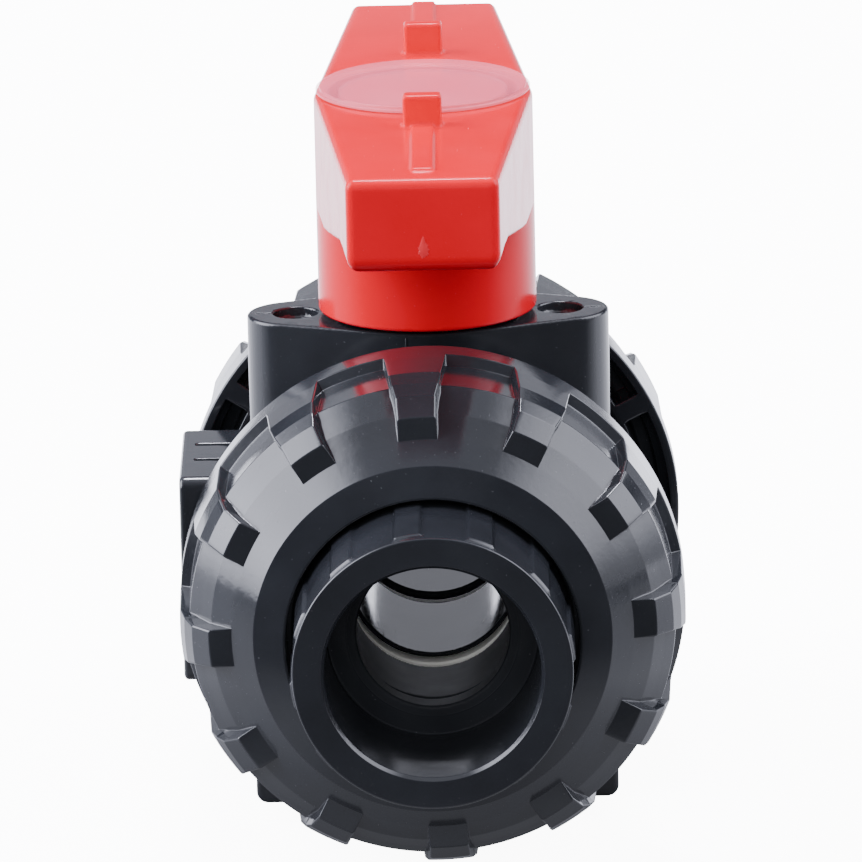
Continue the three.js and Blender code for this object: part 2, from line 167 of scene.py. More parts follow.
HUB_R = 16.67
HANDLE_TOP = 72.95
HUB_JOIN = 58
HUB_BOSS_R = 9.6
HUB_SKIRT_R = 13.8
HUB_HOLLOW_TOP = 57
SOCKET_HALF = DRIVE_SIDE / 2 + FIT_GAP
SOCKET_TOP = 66.6
WING_END = HANDLE_HIGH[1]
WING_END_HALF = 11.3
WING_UNDERSIDE = ((14, 42, WING_END), (54.6, 59.2, 58.6))    # |y|, and the height at each
WING_TOP_FILLET = 1.5
WING_SIDE_FILLET = 1.2
WING_UNDER_FILLET = ((20, 50), (0.8, 2.6))                   # |y|, and the radius at each
HUB_FILLET = (6, 12, 1.2)                                    # |y| where it starts and ends, radius
LUG_HALF = 2.95
LUG_INNER = 22.2
LUG_OUTER = 25.2
TONGUE_HALF = 1.75
TONGUE_TOP = 73.4
TONGUE_NEAR_END = 52.5
TONGUE_FAR_END = 57.4
CAP_THICK = 0.9
CAP_SEAT = CAP_HIGH[2] - CAP_THICK - FIT_GAP
CAP_SKIRT = (12.9, 14.3, CAP_LOW[2])
CAP_GROOVE = (12.6, 14.6)
CAP_GROOVE_BOTTOM = 69.5

CONNECTOR_R = 20.9
CONNECTOR_END = -CONNECTOR_LOW[1]
CONNECTOR_FLANGE_BACK = 43.0
CONNECTOR_RIB_WIDTH = 4.1
CONNECTOR_RIB_HEIGHT = 0.4
CONNECTOR_RIB_START = 1.3                                    # behind the rim
PORT_LIP = (11.5, 4)                                         # radius and length
INLET_WEAR = 0.3                                             # added roughness
INLET_WEAR_END = -17.2                                       # y, just before the ball
CONNECTOR_RIB_OFFSET = math.radians(6)
SOCKET_R = 16.15
SOCKET_DEPTH = 22
FACE_GROOVE = (17.2, 20.4, 40.8)                             # radii and depth in y

NUT_R = node_box("union_nut_front")[1][0] - 0.15
NUT_REAR = 21.8
NUT_RIM_FRONT = 27
NUT_BORE_R = 30.7
NUT_MOUTH_R = NUT_BORE_R + 1.2
NUT_THREAD_CREST = 29.2
NUT_BORE_END = 40
NUT_SHOULDER = 43.3
RIBS = 12
RIB_OFFSET = math.radians(3)
RIB_HALF_WIDTH = ((27, 35, 40, 41, 43, 46.3),                # |y|, and half the width at each
                  (4.7, 4.15, 3.75, 3.45, 3.1, 2.95))
WEB_HALF_WIDTH = 1.6                                         # of the webs in the open rear face
RIB_EDGE_R = 0.35
RIB_FOOT_R = 0.2
RIB_LEAST = 0.04                                             # a lower rib has no wall
RIB_SPREAD = 0.05                                            # keeps points apart where it has none
NUT_THREAD_ROW = 0.4                                         # between rows in the threaded bore
# The nut's section from its mouth round the outside to the shoulder: radius, |y| and corner
# radius, first between the ribs and then along a rib. Both have the same number of corners.
NUT_BETWEEN = ((NUT_MOUTH_R, NUT_REAR, 0), (33.0, NUT_REAR, 0.3), (33.0, 30, 0.5), (35.2, 30, 0.5),
               (35.4, 26, 0.3), (36.9, 25, 0.3), (36.9, NUT_REAR, 0.3), (NUT_R, NUT_REAR, 0.4),
               (NUT_R, NUT_RIM_FRONT, 0.35), (36.7, 27.95, 0.35), (36.6, 39, 0.6),
               (35.0, 41.0, 1.0), (33.3, 43.2, 2.5), (31.8, 44.7, 0.4), (30.2, 46.3, 0.3))
NUT_ON_RIB = ((NUT_MOUTH_R, NUT_REAR, 0), (33.0, NUT_REAR, 0.1), (33.7, NUT_REAR, 0.1),
              (34.4, NUT_REAR, 0.1), (35.1, NUT_REAR, 0.1), (35.8, NUT_REAR, 0.1),
              (36.9, NUT_REAR, 0.1), (NUT_R, NUT_REAR, 0.4), (NUT_R, NUT_RIM_FRONT, 0.3),
              (NUT_R, 29, 0.3), (38.15, 37, 1.0), (37.4, 40.5, 1.0), (36.2, 43.3, 0.8),
              (33.6, 46.3, 0.5), (30.2, 46.3, 0.3))
NUT_NOSE = ((26.9, 49.5, 0.5), (22.0, 51.3, 0.4), (22.0, NUT_SHOULDER, 0.3),
            (27.3, NUT_SHOULDER, 0.3), (NUT_BORE_R, NUT_BORE_END, 0))


# ------------------------------------------------------------------ meshing

def mesh_object(name, verts, faces):
    """A smooth-shaded object from vertices in millimetres."""
    mesh = bpy.data.meshes.new(name)
    mesh.from_pydata((verts * MM).tolist(), [], faces.tolist())
    mesh.validate()
    mesh.polygons.foreach_set("use_smooth", [True] * len(mesh.polygons))
    obj = bpy.data.objects.new(name, mesh)
    bpy.context.scene.collection.objects.link(obj)
    return obj


def weighted(obj):
    """Gives the mesh area-weighted custom normals."""
    mesh = obj.data
    mesh.calc_loop_triangles()
    count = len(mesh.vertices)
    verts = np.empty(count * 3)
    mesh.vertices.foreach_get("co", verts)
    verts = verts.reshape(-1, 3)
    triangles = np.empty(len(mesh.loop_triangles) * 3, np.int64)
    mesh.loop_triangles.foreach_get("vertices", triangles)
    triangles = triangles.reshape(-1, 3)
    sides = np.cross(verts[triangles[:, 1]] - verts[triangles[:, 0]],
                     verts[triangles[:, 2]] - verts[triangles[:, 0]])
    normals = np.zeros_like(verts)
    for k in range(3):
        np.add.at(normals, triangles[:, k], sides)
    normals /= np.maximum(np.linalg.norm(normals, axis=1, keepdims=True), 1e-20)
    mesh.normals_split_custom_set_from_vertices(normals.tolist())
    return obj


def rounded(corners, closed=False, steps=5):
    """A polyline with its corners rounded: corners are (a, b, radius)."""
    points = []
    count = len(corners)
    for i, (a, b, radius) in enumerate(corners):
        here = np.array([a, b], float)
        if radius <= 0 or (not closed and i in (0, count - 1)):
            points.append(here)
            continue
        before = np.array(corners[i - 1][:2], float) - here
        after = np.array(corners[(i + 1) % count][:2], float) - here
        room_before, room_after = np.linalg.norm(before), np.linalg.norm(after)
        before /= room_before
        after /= room_after
        cosine = np.clip(before @ after, -1, 1)
        half = math.acos(cosine) / 2
        if half > 0.49 * math.pi:
            reach = min(radius, 0.4 * room_before, 0.4 * room_after)
            for t in np.linspace(-1, 1, steps + 1):
                points.append(here + (after if t > 0 else before) * abs(t) * reach)
            continue
        reach = min(radius / math.tan(half), 0.48 * room_before, 0.48 * room_after)
        radius = reach * math.tan(half)
        centre_way = (before + after) / np.linalg.norm(before + after)
        centre = here + centre_way * radius / math.sin(half)
        start = here + before * reach - centre
        end = here + after * reach - centre
        sweep = math.pi - 2 * half
        turn = np.sign(start[0] * end[1] - start[1] * end[0])
        for k in range(steps + 1):
            angle = turn * sweep * k / steps
            c, s = math.cos(angle), math.sin(angle)
            points.append(centre + np.array([c * start[0] - s * start[1],
                                             s * start[0] + c * start[1]]))
    return np.array(points)


def sewn(rows, columns, wrap_rows):
    """Quads over a grid of rows x columns, closed along the columns."""
    last = rows if wrap_rows else rows - 1
    i = np.arange(last)[:, None]
    j = np.arange(columns)[None, :]
    i2 = (i + 1) % rows
    j2 = (j + 1) % columns
    quads = np.stack(np.broadcast_arrays(i * columns + j, i * columns + j2,
                                         i2 * columns + j2, i2 * columns + j), axis=-1)
    return quads.reshape(-1, 4)


def outward(verts, faces):
    """The faces, turned over if the closed mesh's volume is negative."""
    a, b, c = verts[faces[:, 0]], verts[faces[:, 1]], verts[faces[:, 2]]
    six = np.einsum("ij,ij->i", a, np.cross(b, c)).sum()
    if faces.shape[1] == 4:
        d = verts[faces[:, 3]]
        six += np.einsum("ij,ij->i", a, np.cross(c, d)).sum()
    return faces[:, ::-1] if six < 0 else faces


def turned(name, corners, axis="Y", segments=144, steps=5, swell=None):
    """A profile of (radius, along, corner radius) turned about the pipe (Y) or stem (Z) axis.

    It closes on itself, or on the axis if it starts there. swell adds to the radius.
    """
    on_axis = corners[0][0] == 0
    profile = rounded(corners, closed=not on_axis, steps=steps)
    angles = np.arange(segments) * TAU / segments
    radius = np.repeat(profile[:, :1], segments, axis=1)
    along = np.repeat(profile[:, 1:], segments, axis=1)
    if swell:
        radius = radius + swell(radius, along, angles)
    across = radius * np.cos(angles), radius * np.sin(angles)
    order = [across[0], along, across[1]] if axis == "Y" else [*across, along]
    verts = np.stack(order, axis=-1).reshape(-1, 3)
    faces = outward(verts, sewn(len(profile), segments, not on_axis))
    obj = mesh_object(name, verts, faces)
    if on_axis:
        close_poles(obj)
    return weighted(obj)


def close_poles(obj):
    """Merges the rows of points that lie on the axis."""
    work = bmesh.new()
    work.from_mesh(obj.data)
    bmesh.ops.remove_doubles(work, verts=work.verts, dist=1e-7)
    work.to_mesh(obj.data)
    work.free()


# ----------------------------------------------------------- distance fields
# Positive outside, negative inside, in millimetres, on arrays of points.

def rounded_and(a, b, r):
    """Intersection of two fields with an edge of radius r."""
    inner = np.minimum(-r, np.maximum(a, b))
    return inner + np.hypot(np.maximum(a + r, 0), np.maximum(b + r, 0))


def rounded_or(a, b, r):
    """Union of two fields with a fillet of radius r in the corner between them."""
    outer = np.maximum(r, np.minimum(a, b))
    return outer - np.hypot(np.maximum(r - a, 0), np.maximum(r - b, 0))


def cut(a, b, r=EDGE_R):
    """a with b taken away, the new edge rounded."""
    return rounded_and(a, -b, r)


def slab(v, low, high):
    return np.maximum(low - v, v - high)


def rod(u, v, w, radius, low, high, r=0.0):
    """A cylinder of that radius in u, v, between low and high along w."""
    return rounded_and(np.hypot(u, v) - radius, slab(w, low, high), r)


def block(x, y, z, low, high, r):
    """A box with all edges of radius r."""
    parts = [np.maximum(lo - v, v - hi) + r for v, lo, hi in zip((x, y, z), low, high)]
    outside = np.sqrt(sum(np.maximum(p, 0) ** 2 for p in parts))
    return outside + np.minimum(np.maximum(np.maximum(*parts[:2]), parts[2]), 0) - r


def tapered_capsule(u, v, r1, r2, length):
    """Two circles at v = 0 and v = +-length, joined by their tangents."""
    u, v = np.abs(u), np.abs(v)
    b = (r1 - r2) / length
    a = math.sqrt(1 - b * b)
    k = -b * u + a * v
    side = a * u + b * v - r1
    near = np.hypot(u, v) - r1
    far = np.hypot(u, v - length) - r2
    return np.where(k < 0, near, np.where(k > a * length, far, side))


def sample(field, low, high, cell):
    """The field on a grid, evaluated in slices along x."""
    axes = [np.arange(lo, hi + cell, cell) for lo, hi in zip(low, high)]
    y, z = np.meshgrid(axes[1], axes[2], indexing="ij")
    values = np.empty((len(axes[0]), *y.shape), np.float32)
    for start in range(0, len(axes[0]), 16):
        x = axes[0][start:start + 16][:, None, None]
        grid = np.broadcast_arrays(x, y[None], z[None])
        values[start:start + 16] = field(*grid)
    return values


EDGES = [((0, 0, 0), (1, 0, 0)), ((0, 1, 0), (1, 1, 0)), ((0, 0, 1), (1, 0, 1)),
         ((0, 1, 1), (1, 1, 1)), ((0, 0, 0), (0, 1, 0)), ((1, 0, 0), (1, 1, 0)),
         ((0, 0, 1), (0, 1, 1)), ((1, 0, 1), (1, 1, 1)), ((0, 0, 0), (0, 0, 1)),
         ((1, 0, 0), (1, 0, 1)), ((0, 1, 0), (0, 1, 1)), ((1, 1, 0), (1, 1, 1))]


def surface_nets(field, low, high, cell):
    """Vertices and quads of the field's zero surface: one vertex per crossed cell."""
    values = sample(field, low, high, cell)
    inside = values < 0
    shape = np.array(values.shape) - 1
    count = np.zeros(shape, np.int8)
    for dx in (0, 1):
        for dy in (0, 1):
            for dz in (0, 1):
                count += inside[dx:dx + shape[0], dy:dy + shape[1], dz:dz + shape[2]]
    active = (count > 0) & (count < 8)
    cells = np.argwhere(active)
    index = np.full(shape, -1, np.int64)
    index[tuple(cells.T)] = np.arange(len(cells))
    total = np.zeros((len(cells), 3))
    hits = np.zeros(len(cells))
    for start, end in EDGES:
        va = values[tuple((cells + start).T)]
        vb = values[tuple((cells + end).T)]
        crossed = (va < 0) != (vb < 0)
        t = np.where(crossed, va / np.where(crossed, va - vb, 1), 0)
        point = np.array(start) + t[:, None] * (np.array(end) - np.array(start))
        total += np.where(crossed[:, None], point, 0)
        hits += crossed
    verts = (cells + total / hits[:, None]) * cell + np.array(low)
    quads = []
    for axis in range(3):
        u, v = [(1, 2), (2, 0), (0, 1)][axis]
        ahead = np.roll(inside, -1, axis=axis)
        crossing = inside != ahead
        crossing[tuple(slice(-1, None) if k == axis else slice(None) for k in range(3))] = False
        places = np.argwhere(crossing)
        keep = (places[:, u] > 0) & (places[:, v] > 0)
        keep &= (places[:, u] < shape[u]) & (places[:, v] < shape[v])
        places = places[keep]
        step_u, step_v = np.eye(3, dtype=np.int64)[u], np.eye(3, dtype=np.int64)[v]
        ring = [places - step_u - step_v, places - step_v, places, places - step_u]
        quad = np.stack([index[tuple(c.T)] for c in ring], axis=1)
        leaving = inside[tuple(places.T)]
        quad[~leaving] = quad[~leaving][:, ::-1]
        quads.append(quad)
    return verts, np.concatenate(quads)


def gradient(field, points, step=0.01):
    slopes = []
    for axis in range(3):
        shift = np.zeros(3)
        shift[axis] = step
        slopes.append((field(*(points + shift).T) - field(*(points - shift).T)) / (2 * step))
    return np.stack(slopes, axis=1)


def moulded(name, field, low, high, cell, faces_wanted):
    """A field as a mesh: its vertices are drawn onto the surface, then thinned on flats."""
    margin = 2 * cell
    verts, quads = surface_nets(field, np.array(low) - margin, np.array(high) + margin, cell)
    for _ in range(3):
        slope = gradient(field, verts)
        size = np.maximum((slope ** 2).sum(1), 0.05)
        step = (field(*verts.T) / size)[:, None] * slope
        length = np.linalg.norm(step, axis=1, keepdims=True)
        verts = verts - step * np.minimum(1, 0.4 * cell / np.maximum(length, 1e-9))
    obj = mesh_object(name, verts, quads)
    triangles = 2 * len(quads)
    if triangles > faces_wanted:
        thin = obj.modifiers.new("thin", "DECIMATE")
        thin.ratio = faces_wanted / triangles
        apply_modifiers(obj)
    return weighted(obj)


def apply_modifiers(obj):
    depsgraph = bpy.context.evaluated_depsgraph_get()
    mesh = bpy.data.meshes.new_from_object(obj.evaluated_get(depsgraph))
    old = obj.data
    obj.modifiers.clear()
    obj.data = mesh
    mesh.name = old.name
    bpy.data.meshes.remove(old)


def rounded_rectangle(u, v, half_u, half_v, r):
    a = np.abs(u) - half_u + r
    b = np.abs(v) - half_v + r
    return np.hypot(np.maximum(a, 0), np.maximum(b, 0)) + np.minimum(np.maximum(a, b), 0) - r


def thread_radius(x, y, z, root, crest):
    """Radius of a right-hand thread about the pipe axis, with flats at crest and root."""
    phase = y * TAU / PITCH - np.arctan2(x, z)
    wave = np.clip(0.5 + 0.75 * np.cos(phase), 0, 1)
    return root + (crest - root) * wave


# -------------------------------------------------------------------- pieces

BODY_OF = {node: body for body, nodes in frame["record"]["behaviour"]["bodies"].items()
           for node in nodes}
SLOT_OF = {part["node"]: part["material_slot"] for part in frame["record"]["subparts"]}


def install(obj, node):
    """Puts a finished piece in the place of its CAD node."""
    obj.data.materials.append(MATERIALS[SLOT_OF[node]])
    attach(obj, BODY_OF[node])
    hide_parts(node)


def along(side, corners):
    """Corners of a profile for the front (-1) or rear (+1) end of the pipe line."""
    return [(radius, side * y, r) for radius, y, r in corners]


def ring_sector(x, y, inner, outer, centre, half_angle):
    """Part of a ring about the stem axis, seen from above."""
    radius = np.hypot(x, y)
    angle = np.arctan2(y, x) - centre
    angle = np.abs((angle + math.pi) % TAU - math.pi)
    return rounded_and(slab(radius, inner, outer), radius * (angle - half_angle), 0.4)


def body_field(x, y, z):
    pipe, stem, end = np.hypot(x, z), np.hypot(x, y), np.abs(y)
    threaded = pipe - thread_radius(x, y, z, THREAD_ROOT, THREAD_CREST)
    lead_in = (pipe + end - THREAD_ROOT - BODY_END) * math.sqrt(0.5)
    ends = rounded_and(rounded_and(threaded, lead_in, EDGE_R), end - BODY_END, 0.4)
    barrel = rounded_and(pipe - BARREL_R, end - BARREL_HALF, BLUNT_R)
    shape = rounded_or(ends, barrel, 0.5)
    plan = tapered_capsule(y, x, NECK_R, EAR_TIP_R, EAR_HOLE_X)
    ears = np.maximum(rounded_and(plan, z - EAR_TOP, 0.45), -z)
    shape = rounded_or(shape, ears, EAR_FILLET)
    foot_middle, foot_half = (FOOT_TOP + BODY_LOW[2]) / 2, (FOOT_TOP - BODY_LOW[2]) / 2
    foot = rounded_rectangle(x, z - foot_middle, FOOT_HALF_WIDTH, foot_half, PAD_CORNER_R)
    shape = rounded_or(shape, rounded_and(foot, end - PAD_HALF_LENGTH, BLUNT_R), PAD_FILLET)
    pad = rounded_rectangle(y, z, PAD_HALF_LENGTH, SIDE_PAD_HALF_HEIGHT, PAD_CORNER_R)
    pad = rounded_and(pad, slab(x, BODY_LOW[0], SIDE_PAD_ROOT), BLUNT_R)
    shape = rounded_or(shape, pad, PAD_FILLET)
    for centre in (0, math.pi):
        stop = ring_sector(x, y, *STOP_RADII, centre, STOP_HALF_ANGLE)
        shape = rounded_or(shape, rounded_and(stop, slab(z, EAR_TOP - 2, BODY_HIGH[2]), 0.4), 0.4)
    for place in PAD_SLOTS:
        low = (SIDE_PAD_SLOT_X[0], place - PAD_SLOT_HALF, SIDE_PAD_HALF_HEIGHT - PAD_SLOT_DEPTH)
        high = (SIDE_PAD_SLOT_X[1], place + PAD_SLOT_HALF, SIDE_PAD_HALF_HEIGHT + PAD_SLOT_DEPTH)
        shape = cut(shape, block(x, y, z, low, high, EDGE_R), 0.25)
    water = pipe - PORT_R
    for step_r, step_end in ((SEAT_POCKET_R, y - SEAT_POCKET_END), (CHAMBER_R, y - CHAMBER_REAR),
                             (CARRIER_BORE_R, y + CARRIER_BORE_END)):
        water = rounded_or(water, rounded_and(pipe - step_r, step_end, EDGE_R), EDGE_R)
    shape = cut(shape, water, 0.5)
    collar = rounded_and(stem - COLLAR_BORE_R, z - COLLAR_SEAT, EDGE_R)
    bore = rounded_or(stem - STEM_BORE_R, collar, EDGE_R)
    shape = cut(shape, np.maximum(bore, BALL_R / 2 - z), 0.4)
    hole_x = np.abs(x) - EAR_HOLE_X
    for hole_r, depth, edge_r in ((EAR_BORE_R, EAR_BORE_DEPTH, 0.15),
                                  (EAR_SLEEVE_R, EAR_SLEEVE_DEPTH, 0.15),
                                  (EAR_PILOT_R, EAR_PILOT_DEPTH, 0.2)):
        shape = cut(shape, rod(hole_x, y, z, hole_r, EAR_TOP - depth, EAR_TOP + 5), edge_r)
    return shape


def handle_field(x, y, z):
    ax, ay, stem = np.abs(x), np.abs(y), np.hypot(x, y)
    reach = math.hypot(WING_END, WING_END_HALF)
    lean = math.asin(HUB_R / reach) - math.atan2(WING_END_HALF, WING_END)
    side = np.where(ay < HUB_R * math.sin(lean), stem - HUB_R,
                    ax * math.cos(lean) + ay * math.sin(lean) - HUB_R)
    underside = np.interp(ay, *WING_UNDERSIDE)
    wing = rounded_and(rounded_and(side, ay - WING_END, WING_SIDE_FILLET), z - HANDLE_TOP, WING_TOP_FILLET)
    wing = rounded_and(wing, underside - z, np.interp(ay, *WING_UNDER_FILLET))
    hub = rounded_and(stem - HUB_R, slab(z, HANDLE_LOW[2], HUB_JOIN), 0.5)
    fillet_start, fillet_end, fillet_r = HUB_FILLET
    grown = np.clip((ay - fillet_start) / (fillet_end - fillet_start), 0, 1)
    shape = rounded_or(wing, hub, 0.02 + fillet_r * grown)
    shape = cut(shape, rod(x, y, z, HUB_R + 0.1, CAP_SEAT, HANDLE_TOP + 5), 0.1)
    lug = block(x, ay, z, (-LUG_HALF, LUG_INNER, HANDLE_TOP - 2),
                (LUG_HALF, LUG_OUTER, HANDLE_HIGH[2]), 0.6)
    shape = rounded_or(shape, lug, 0.5)
    tongue_end = np.where(y < 0, TONGUE_NEAR_END, TONGUE_FAR_END)
    tongue = block(x, ay, z, (-TONGUE_HALF, LUG_OUTER - 1, HANDLE_TOP - 1),
                   (TONGUE_HALF, tongue_end, TONGUE_TOP), EDGE_R)
    shape = rounded_or(shape, tongue, 0.25)
    hollow = rounded_and(slab(stem, HUB_BOSS_R, HUB_SKIRT_R), slab(z, 0, HUB_HOLLOW_TOP), 0.8)
    shape = cut(shape, hollow, 0.4)
    square = rounded_rectangle(x, y, SOCKET_HALF, SOCKET_HALF, 0.4)
    shape = cut(shape, rounded_and(square, z - SOCKET_TOP, EDGE_R), 0.4)
    groove = rounded_and(slab(stem, *CAP_GROOVE), CAP_GROOVE_BOTTOM - z, 0.2)
    shape = cut(shape, groove, 0.2)
    for centre in (3 * TAU / 8, -TAU / 8):
        fin = ring_sector(x, y, HUB_BOSS_R - 0.3, HUB_SKIRT_R + 0.3, centre, STOP_HALF_ANGLE)
        fin = rounded_and(fin, slab(z, HANDLE_LOW[2], HUB_HOLLOW_TOP + 0.5), EDGE_R)
        shape = np.minimum(shape, fin)
    return shape


def nut():
    """The front nut, its nose towards -Y: rows along its section, columns round it."""
    between = rounded(NUT_BETWEEN + NUT_NOSE, steps=4)
    on_rib = rounded(NUT_ON_RIB + NUT_NOSE, steps=4)
    rear_rows = on_rib[:, 1] < NUT_REAR + 0.01
    bore_y = np.arange(NUT_BORE_END - NUT_THREAD_ROW, NUT_REAR + 1.0, -NUT_THREAD_ROW)
    bore = np.stack([np.full(len(bore_y), NUT_BORE_R), bore_y], axis=1)
    rear_rows = np.concatenate([rear_rows, np.zeros(len(bore), bool)])
    between, on_rib = np.concatenate([between, bore]), np.concatenate([on_rib, bore])
    height = np.linalg.norm(on_rib - between, axis=1)
    walled = height > RIB_LEAST
    edge = np.where(walled, np.minimum(RIB_EDGE_R, height / 2.2), RIB_EDGE_R)
    foot = np.where(walled, np.minimum(RIB_FOOT_R, height / 2.2), RIB_FOOT_R)
    apart = np.where(walled, 0, RIB_SPREAD)

    def column(up, offset, of_rib=1.0, of_gap=0.0):
        """Radius, |y| and angle of one column, by its height up the rib's wall in each row."""
        share = np.where(walled, up / np.maximum(height, RIB_LEAST), 0)[:, None]
        radius, nose = (between + (on_rib - between) * share).T
        wall = np.where(rear_rows, WEB_HALF_WIDTH, np.interp(nose, *RIB_HALF_WIDTH))
        angle = np.arcsin((wall + offset) * of_rib / radius)
        return radius, nose, angle + (math.pi / RIBS - angle) * of_gap

    quarter = np.radians((0, 30, 60, 90))
    half = [column(height, -edge, of_rib=part) for part in (0, 0.4, 0.8)]
    half += [column(height - edge * (1 - math.cos(a)), edge * (math.sin(a) - 1) - apart)
             for a in quarter]
    half += [column((height - edge + foot) / 2, 0)]
    half += [column(foot * (1 - math.sin(a)), foot * (1 - math.cos(a)) + apart) for a in quarter]
    half += [column(0 * height, foot + apart, of_gap=part / 6) for part in range(1, 7)]
    sector = [(r, y, -a) for r, y, a in half[-2:0:-1]] + half
    radius, nose, angle = (np.stack(part, axis=1) for part in zip(*sector))
    turns = RIB_OFFSET + np.arange(RIBS) * TAU / RIBS
    angle = (angle[:, None, :] + turns[None, :, None]).reshape(len(nose), -1)
    radius, nose = np.tile(radius, RIBS), np.tile(nose, RIBS)
    x, z = np.cos(angle), np.sin(angle)
    threaded = np.arange(len(nose)) >= len(nose) - len(bore)
    thread = thread_radius(x, -nose, z, NUT_THREAD_CREST, NUT_BORE_R)
    radius = np.where(threaded[:, None], thread, radius)
    verts = np.stack([radius * x, -nose, radius * z], axis=-1).reshape(-1, 3)
    faces = outward(verts, sewn(*nose.shape, True))
    return weighted(mesh_object("nut", verts, faces))


def ball_field(x, y, z):
    shape = cut(np.sqrt(x * x + y * y + z * z) - BALL_R, np.hypot(x, z) - BORE_R, 0.5)
    return cut(shape, rounded_and(np.abs(y) - SLOT_WIDTH / 2, SLOT_FLOOR - z, EDGE_R))


def carrier_field(x, y, z):
    pipe, depth = np.hypot(x, z), y - CARRIER_LOW[1]
    shape = rounded_and(pipe - CARRIER_HIGH[0], slab(y, CARRIER_LOW[1], CARRIER_HIGH[1]), 0.5)
    shape = cut(shape, pipe - PORT_R, 0.4)
    shape = cut(shape, np.maximum(pipe - SEAT_POCKET_R, -SEAT_POCKET_END - y))
    groove = np.maximum(CARRIER_GROOVE_R - pipe, np.abs(y + CARRIER_SEAL_Y) - CARRIER_GROOVE_HALF)
    shape = cut(shape, groove, 0.2)
    key = np.maximum(LUG_INNER - FIT_GAP - np.abs(x), depth - CARRIER_KEY_DEPTH)
    return cut(shape, np.maximum(np.abs(z) - LUG_HALF - FIT_GAP, key), 0.4)


def stem_field(x, y, z):
    radius, side = np.hypot(x, y), DRIVE_SIDE / 2
    collar = rounded_and(radius - STEM_HIGH[0], slab(z, COLLAR_BOTTOM, COLLAR_TOP), 0.3)
    shaft = rounded_and(radius - STEM_R, slab(z, COLLAR_BOTTOM, EAR_TOP + 0.5), 0.5)
    drive = rounded_and(rounded_rectangle(x, y, side, side, 0.6), slab(z, EAR_TOP, STEM_HIGH[2]), 0.6)
    tang = block(x, y, z, (-TANG[0] / 2, -TANG[1] / 2, STEM_LOW[2]),
                 (TANG[0] / 2, TANG[1] / 2, COLLAR_TOP), 0.5)
    shape = rounded_or(np.minimum(np.minimum(shaft, drive), collar), tang, 0.3)
    for height in STEM_SEAL_HEIGHTS:
        groove = np.maximum(STEM_GROOVE_R - radius, np.abs(z - height) - STEM_GROOVE_HALF)
        shape = cut(shape, groove, 0.2)
    return shape


def seat(side):
    """A seat ring whose hollow face follows the ball."""
    radii = np.linspace(SEAT_RADII[0], SEAT_FACE_R, 7)
    face = [(r, math.sqrt((BALL_R + FIT_GAP) ** 2 - r * r) + 0.05, 0) for r in radii]
    back = [(SEAT_RADII[1], SEAT_BACK, 0.3), (SEAT_RADII[0], SEAT_BACK, 0.3)]
    corners = [*face, (SEAT_RADII[1], face[-1][1], 0.3), *back]
    return turned("seat_ring", along(side, corners), segments=160)


def seal(radius, section, place, axis="Y"):
    """An O-ring about the pipe or stem axis."""
    turns = np.arange(28) * TAU / 28
    corners = [(radius + section * math.cos(a), place + section * math.sin(a), 0) for a in turns]
    return turned("ring", corners, axis=axis, segments=160)


def connector(side):
    """A pipe socket with a flange, a face groove for the seal and shallow ribs outside."""
    face, back = BODY_END + FIT_GAP, CONNECTOR_FLANGE_BACK
    rib_start, rib_end = CONNECTOR_END - CONNECTOR_RIB_START, back + 1.5

    def ribs(radius, y, angles):
        off = (angles - side * CONNECTOR_RIB_OFFSET) * RIBS / TAU % 1 - 0.5
        tangential = np.abs(off) * TAU / RIBS * CONNECTOR_R
        across = np.clip((CONNECTOR_RIB_WIDTH / 2 - tangential) / 0.3 + 0.5, 0, 1)
        outside = (radius > CONNECTOR_R - 0.1) & (np.abs(y) < rib_start) & (np.abs(y) > rib_end)
        return CONNECTOR_RIB_HEIGHT * across * across * (3 - 2 * across) * outside

    wall = [back + 1, rib_end - 0.15, rib_end + 0.15, (rib_end + rib_start) / 2,
            rib_start - 0.35, rib_start - 0.1, rib_start + 0.05]
    corners = [(PORT_R, face, 0.4), (FACE_GROOVE[0], face, 0.2), (FACE_GROOVE[0], FACE_GROOVE[2], 0.2),
               (FACE_GROOVE[1], FACE_GROOVE[2], 0.2), (FACE_GROOVE[1], face, 0.2),
               (CONNECTOR_HIGH[0], face, 0.4), (CONNECTOR_HIGH[0], back, 0.5), (CONNECTOR_R, back, 0.8),
               *[(CONNECTOR_R, y, 0) for y in wall],
               (CONNECTOR_R, CONNECTOR_END, 0.35),
               (SOCKET_R + 0.5, CONNECTOR_END, 0.15), (SOCKET_R, CONNECTOR_END - 0.6, 0.15),
               (SOCKET_R - 0.2, CONNECTOR_END - SOCKET_DEPTH, 0.4),
               (PORT_LIP[0], CONNECTOR_END - SOCKET_DEPTH, 0.5),
               (PORT_LIP[0], CONNECTOR_END - SOCKET_DEPTH - PORT_LIP[1], 0.3),
               (PORT_R, CONNECTOR_END - SOCKET_DEPTH - PORT_LIP[1] - 0.8, 0.3)]
    return turned("pipe_socket", along(side, corners), segments=432, swell=ribs)


def flash_line(name, start, end, up):
    """A mould's parting line: a fine ridge from start to end on a surface facing up."""
    start, end, up = (np.array(v, float) for v in (start, end, up))
    way = (end - start) / np.linalg.norm(end - start)
    side = np.cross(way, up)
    turns = np.arange(8) * TAU / 8
    section = np.outer(np.cos(turns), side) * FLASH[0] / 2 + np.outer(np.sin(turns), up) * FLASH[1]
    path = np.array([start, start + 0.3 * way, end - 0.3 * way, end])
    verts = (path[:, None, :] + np.array([0, 1, 1, 0])[:, None, None] * section).reshape(-1, 3)
    obj = mesh_object(name, verts, outward(verts, sewn(4, len(turns), False)))
    close_poles(obj)
    return weighted(obj)


